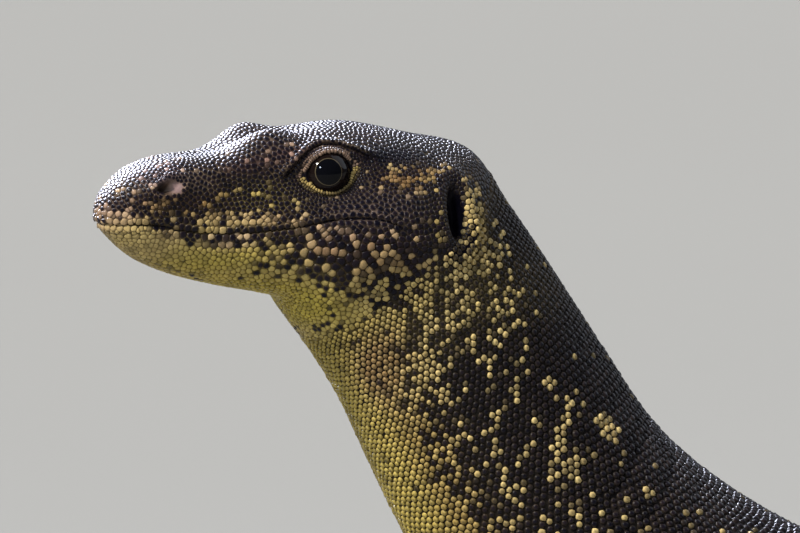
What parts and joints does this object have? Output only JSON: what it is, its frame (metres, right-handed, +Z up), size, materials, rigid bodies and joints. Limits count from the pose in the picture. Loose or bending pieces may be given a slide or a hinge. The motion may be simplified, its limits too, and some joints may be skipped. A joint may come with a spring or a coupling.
{
  "type": "water monitor lizard",
  "caption": "Water monitor lizard as a life-size still model, standing on all four feet with its neck raised, its head turned to its left and its tail along the floor.",
  "frame": {"origin": "Bottom centre of the model's box, on the floor the feet and the tail rest on.", "axes": "+X is the way the trunk faces, +Y is the lizard's left and +Z is up."},
  "size_m": [1.5054, 0.3672, 0.289],
  "materials": {
    "skin_dark": "satin",
    "skin_throat": "satin",
    "eye": "gloss",
    "claw": "satin"
  },
  "bodies": {
    "root": {"claw_fore_left_1": "claw", "claw_fore_left_2": "claw", "claw_fore_left_3": "claw", "claw_fore_left_4": "claw", "claw_fore_left_5": "claw", "claw_fore_right_1": "claw", "claw_fore_right_2": "claw", "claw_fore_right_3": "claw", "claw_fore_right_4": "claw", "claw_fore_right_5": "claw", "claw_hind_left_1": "claw", "claw_hind_left_2": "claw", "claw_hind_left_3": "claw", "claw_hind_left_4": "claw", "claw_hind_left_5": "claw", "claw_hind_right_1": "claw", "claw_hind_right_2": "claw", "claw_hind_right_3": "claw", "claw_hind_right_4": "claw", "claw_hind_right_5": "claw", "eye_left": "eye", "eye_right": "eye", "foot_fore_left": "skin_dark", "foot_fore_right": "skin_dark", "foot_hind_left": "skin_dark", "foot_hind_right": "skin_dark", "head": "skin_dark", "lower_jaw": "skin_throat", "lower_leg_fore_left": "skin_dark", "lower_leg_fore_right": "skin_dark", "lower_leg_hind_left": "skin_dark", "lower_leg_hind_right": "skin_dark", "neck_lower": "skin_dark", "neck_upper": "skin_dark", "pelvis": "skin_dark", "shoulders": "skin_dark", "tail_1": "skin_dark", "tail_2": "skin_dark", "tail_3": "skin_dark", "tail_4": "skin_dark", "tail_5": "skin_dark", "tail_6": "skin_dark", "trunk_front": "skin_dark", "trunk_rear": "skin_dark", "upper_leg_fore_left": "skin_dark", "upper_leg_fore_right": "skin_dark", "upper_leg_hind_left": "skin_dark", "upper_leg_hind_right": "skin_dark"}
  },
  "joints": []
}
